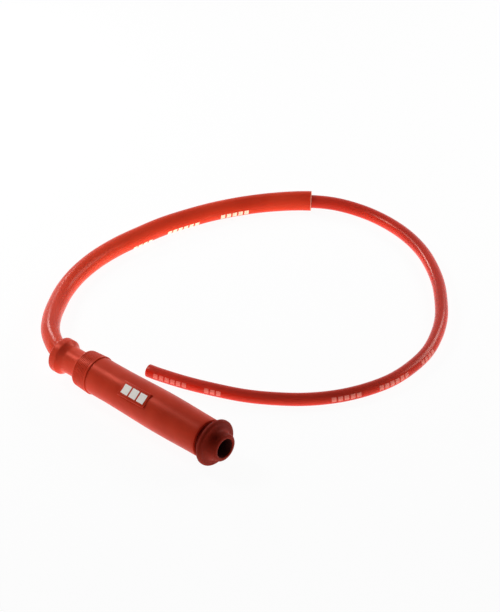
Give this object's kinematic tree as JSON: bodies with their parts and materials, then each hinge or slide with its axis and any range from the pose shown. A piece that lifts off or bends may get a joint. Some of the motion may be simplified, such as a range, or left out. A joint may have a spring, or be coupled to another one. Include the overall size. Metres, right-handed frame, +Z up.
{
  "type": "spark plug cap",
  "caption": "Straight silicone spark plug cap with a flanged plug seal, a ribbed cable boot and a sleeved ignition lead that lies in an open loop.",
  "frame": {"origin": "on the floor under the middle of the cap's length, lead left out", "axes": "+X along the cap towards its plug end, +Z up, +Y to the side on which the lead lies"},
  "size_m": [0.1951, 0.2317, 0.0257],
  "materials": {
    "matte_red_silicone": "matte moulded silicone rubber, dark red",
    "sleeve_red_silicone": "satin silicone sleeving, red",
    "lead_red_silicone": "glossy silicone lead insulation, bright red",
    "black_phenolic": "moulded phenolic resin, black",
    "brass": "turned brass",
    "spring_steel": "plain bright steel",
    "resistor_ceramic": "unglazed ceramic, cream"
  },
  "bodies": {
    "root": {"cap_body": "matte_red_silicone", "cable_boot": "matte_red_silicone", "plug_seal": "matte_red_silicone", "insulator": "black_phenolic", "plug_terminal": "brass", "terminal_clip": "spring_steel", "front_end_cap": "spring_steel", "resistor_rod": "resistor_ceramic", "rear_end_cap": "spring_steel", "contact_spring": "spring_steel", "lead_ferrule": "brass", "lead_sleeve": "sleeve_red_silicone", "lead": "lead_red_silicone"}
  },
  "joints": []
}
